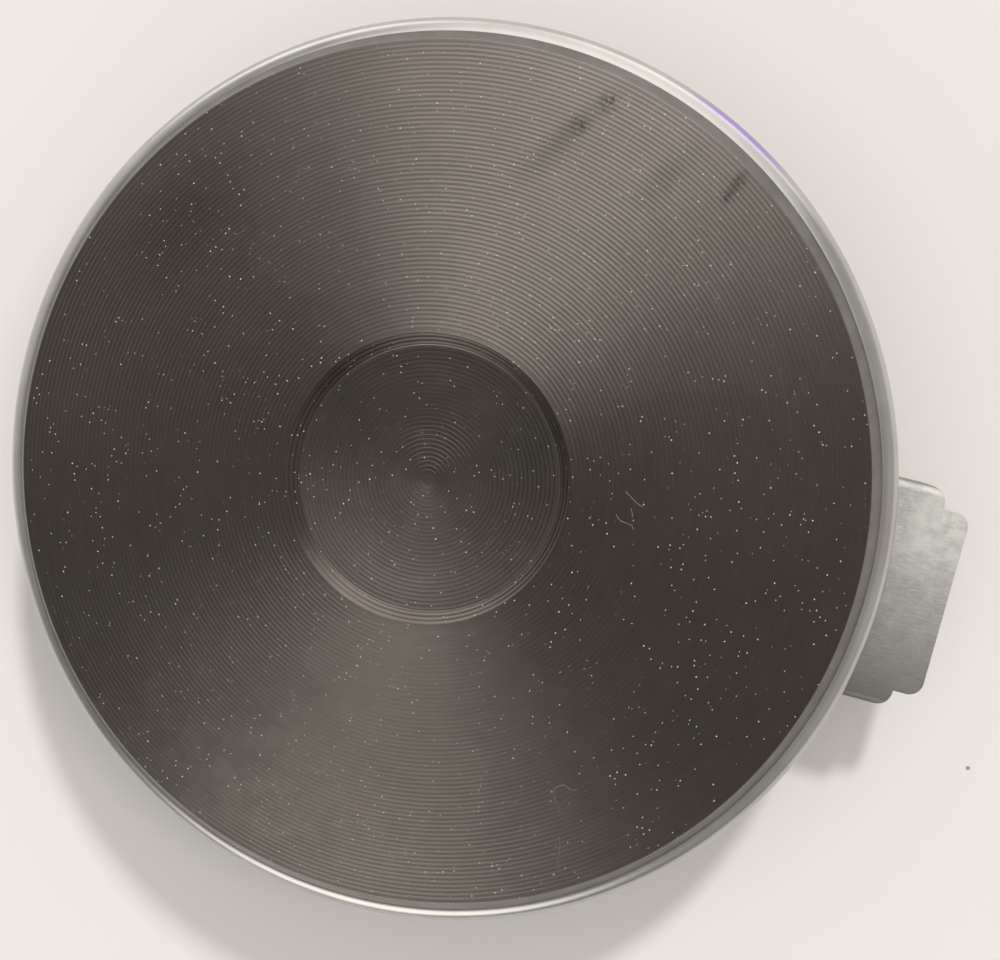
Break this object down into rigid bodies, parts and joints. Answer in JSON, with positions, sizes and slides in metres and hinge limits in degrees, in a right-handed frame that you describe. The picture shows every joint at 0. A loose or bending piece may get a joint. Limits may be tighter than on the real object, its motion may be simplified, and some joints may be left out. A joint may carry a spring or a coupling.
{
  "type": "electric hotplate",
  "caption": "Round cast-iron electric hotplate with a grooved cooking face, a shallow recess in the middle, a bright overflow ring and a radial terminal bracket below the rim.",
  "frame": {"origin": "on the plate's axis at the outer face of the cover nut, where the mounting stud leaves it and the hob's clamping bar bears", "axes": "+Z along the plate's axis towards the cooking face, +X along the terminal bracket"},
  "size_m": [0.2017, 0.1876, 0.035],
  "materials": {
    "cast_iron": "dark blackened iron, turned in fine concentric grooves",
    "ring_steel": "polished stainless steel",
    "coil_wire": "dull resistance wire",
    "compound": "matte pressed insulating compound",
    "coated_sheet": "matte aluminised sheet",
    "plated_steel": "satin plated steel",
    "zinc_sheet": "zinc-plated sheet with rolling streaks",
    "steatite": "unglazed off-white steatite",
    "nickel_wire": "dull nickel",
    "terminal_metal": "plated brass"
  },
  "bodies": {
    "root": {"hotplate_body": "cast_iron", "overflow_ring": "ring_steel", "heating_coil_outer": "coil_wire", "heating_coil_middle": "coil_wire", "heating_coil_inner": "coil_wire", "insulation_outer": "compound", "insulation_middle": "compound", "insulation_inner": "compound", "bottom_cover": "coated_sheet", "mounting_stud": "plated_steel", "cover_washer": "plated_steel", "cover_nut": "plated_steel", "locating_pin": "plated_steel", "terminal_bracket": "zinc_sheet", "terminal_block": "steatite", "lead_bushing": "steatite", "lead_1": "nickel_wire", "lead_2": "nickel_wire", "lead_3": "nickel_wire", "lead_common": "nickel_wire", "lead_beads_1": "steatite", "lead_beads_2": "steatite", "lead_beads_3": "steatite", "lead_beads_common": "steatite", "terminal_plate_1": "terminal_metal", "terminal_plate_2": "terminal_metal", "terminal_plate_3": "terminal_metal", "terminal_plate_4": "terminal_metal", "clamp_washer_1": "plated_steel", "clamp_washer_2": "plated_steel", "clamp_washer_3": "plated_steel", "clamp_washer_4": "plated_steel", "terminal_screw_1": "plated_steel", "terminal_screw_2": "plated_steel", "terminal_screw_3": "plated_steel", "terminal_screw_4": "plated_steel"}
  },
  "joints": []
}
